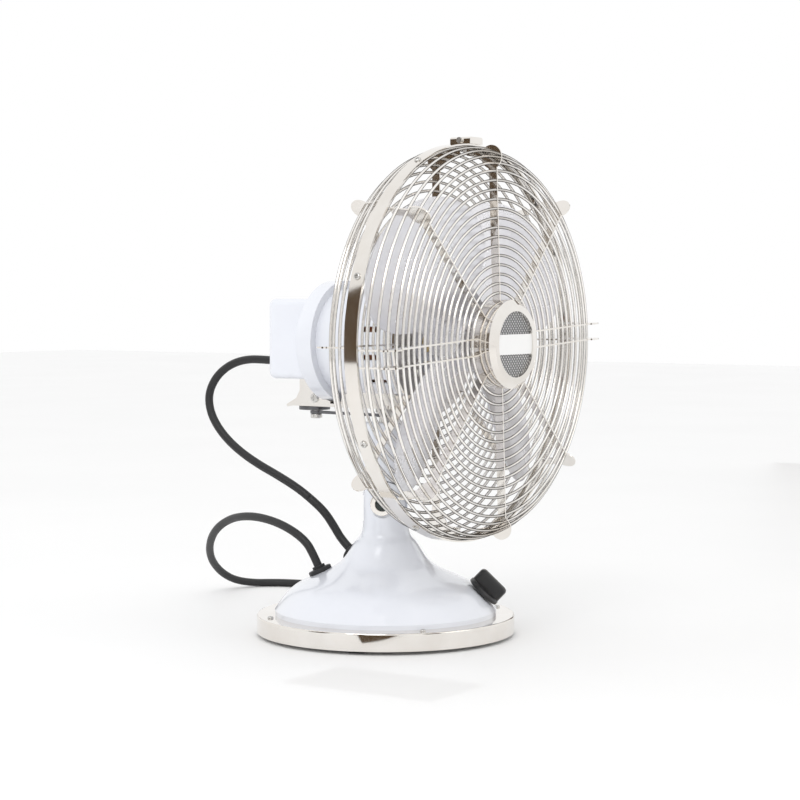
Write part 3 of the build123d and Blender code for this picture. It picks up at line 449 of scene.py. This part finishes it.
for entry in frame["record"]["subparts"]:
    paint(nodes[entry["node"]], SLOT_MATERIALS[entry["material_slot"]])

paint(nodes["badge_mesh"], knurled("badge_knurl", (0.80, 0.80, 0.81), KNURL_PITCH))


# ---------------------------------------------------------------- tilt bolt's cap
tilt = joints["head_tilt"]
tilt_line = Vector(tilt["axis"]).normalized()
tilt_centre = Vector(tilt["pos_m"])
CAP_RADIUS = 0.0062
CAP_HEIGHT = 0.0016
CAP_SEAT = 0.0204            # from the tilt axis's centre to the bolt's recess
CAP_PROFILE = ((1, 0), (1, 0.375), (0.9, 0.6875), (0.6, 0.9375), (0.2, 1))   # shares of radius and height
cap_outline = [(CAP_RADIUS * across, CAP_HEIGHT * up) for across, up in CAP_PROFILE]
cap = link("tilt_bolt_cap", turned_mesh("tilt_bolt_cap", cap_outline))
stand_on(cap, tilt_centre - tilt_line * CAP_SEAT, -tilt_line)
paint(cap, bottle_green)
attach(cap, "base")

# ---------------------------------------------------------------- cords
route = POWER_CORD[:-1] + [INTO_COIL] + coil_points() + CORD_TAIL[1:]
power_cord = nurbs("power_cord_lead", route, CORD_RADIUS)
paint(power_cord, black_rubber)
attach(power_cord, "base")
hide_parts("power_cord", "power_cord_coil", "power_cord_tail")
round(length_of(line_of(route)), 2)

motor_line = line_of(MOTOR_CORD)
JOIN_HEIGHT = 0.116          # the height where the motor cord is cut into an upper and a lower piece
join = min(range(len(motor_line)), key=lambda i: abs(motor_line[i].z - JOIN_HEIGHT))
upper_line = motor_line[:join + 1]
lower_line = motor_line[join:][::-1]
upper = link("motor_cord_upper", tube_mesh("motor_cord_upper", upper_line, CORD_RADIUS))
lower = link("motor_cord_lower", tube_mesh("motor_cord_lower", lower_line, CORD_RADIUS))
for piece, line in ((upper, upper_line), (lower, lower_line)):
    paint(piece, black_rubber)
    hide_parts("motor_cord")
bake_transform(upper)
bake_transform(lower)


# ---------------------------------------------------------------- studio
WORLD_STRENGTH = 1.0
KEY_POWER = 9                # watts
FILL_POWER = 2
FLOOR_WIDTH = 12.0
FLOOR_LEVEL = -0.0002        # just clear of the feet
AIM = (0, 0, 0.2)            # what the lights and cards face
WARM = (1.0, 0.97, 0.93)


def look_at(thing, place, aim):
    """Puts a light or a card at a place, facing a point."""
    thing.location = place
    thing.rotation_euler = (Vector(aim) - Vector(place)).to_track_quat("-Z", "Y").to_euler()


def rectangle(name, width, depth, level=0.0):
    """A flat piece of the studio, not of the object."""
    x = width / 2
    y = depth / 2
    mesh = bpy.data.meshes.new(name)
    mesh.from_pydata([(-x, -y, level), (x, -y, level), (x, y, level), (-x, y, level)], [], [(0, 1, 2, 3)])
    mesh.update()
    piece = link(name, mesh, False)
    return piece


def make_floor():
    floor = rectangle("floor", FLOOR_WIDTH, FLOOR_WIDTH, FLOOR_LEVEL)
    material, tree, shader = new_material("floor")
    tint = ramp(tree, noise(tree, 3), (0.93, 0.93, 0.93), (0.95, 0.95, 0.95))
    tree.links.new(tint, shader.inputs["Base Color"])
    shader.inputs["Roughness"].default_value = 0.6
    floor.data.materials.append(material)


def make_world():
    world = bpy.data.worlds.new("world")
    world.use_nodes = True
    background = world.node_tree.nodes["Background"]
    background.inputs["Color"].default_value = (1, 1, 1, 1)
    background.inputs["Strength"].default_value = WORLD_STRENGTH
    bpy.context.scene.world = world


def area_light(name, place, size, power, colour=(1, 1, 1)):
    data = bpy.data.lights.new(name, "AREA")
    data.shape = "RECTANGLE"
    data.size, data.size_y = size
    data.energy = power
    data.color = colour
    lamp = bpy.data.objects.new(name, data)
    look_at(lamp, place, AIM)
    bpy.context.scene.collection.objects.link(lamp)


def card_material():
    """Matt dark brown, without any shine of its own."""
    material, _, shader = new_material("dark_card")
    shader.inputs["Base Color"].default_value = (0.10, 0.07, 0.045, 1)
    shader.inputs["Roughness"].default_value = 1.0
    shader.inputs["Specular IOR Level"].default_value = 0.0
    return material


def dark_card(name, material, place, size, aim=AIM):
    """A dark panel out of view, to give the bright metal something dark to reflect."""
    card = rectangle(name, *size)
    look_at(card, place, aim)
    card.visible_camera = False
    card.visible_shadow = False
    card.visible_diffuse = False
    card.data.materials.append(material)


bpy.context.scene.view_settings.view_transform = "Standard"
make_floor()
make_world()
area_light("key", (-1.6, -0.4, 1.7), (1.2, 0.8), KEY_POWER)
area_light("fill", (0.4, -2.0, 1.0), (1.0, 1.0), FILL_POWER, WARM)

card_paint = card_material()
dark_card("card_left", card_paint, (-1.5, 0.7, 0.5), (0.5, 1.6))
dark_card("card_side", card_paint, (-1.7, -0.35, 0.4), (0.28, 1.4))
dark_card("card_front", card_paint, (-0.5, -1.9, 0.4), (0.5, 1.5))
dark_card("card_right", card_paint, (1.8, 0.2, 0.5), (0.5, 1.6))
dark_card("card_floor", card_paint, (-0.19, -0.13, 0.002), (0.08, 0.14), (-0.19, -0.13, -1))
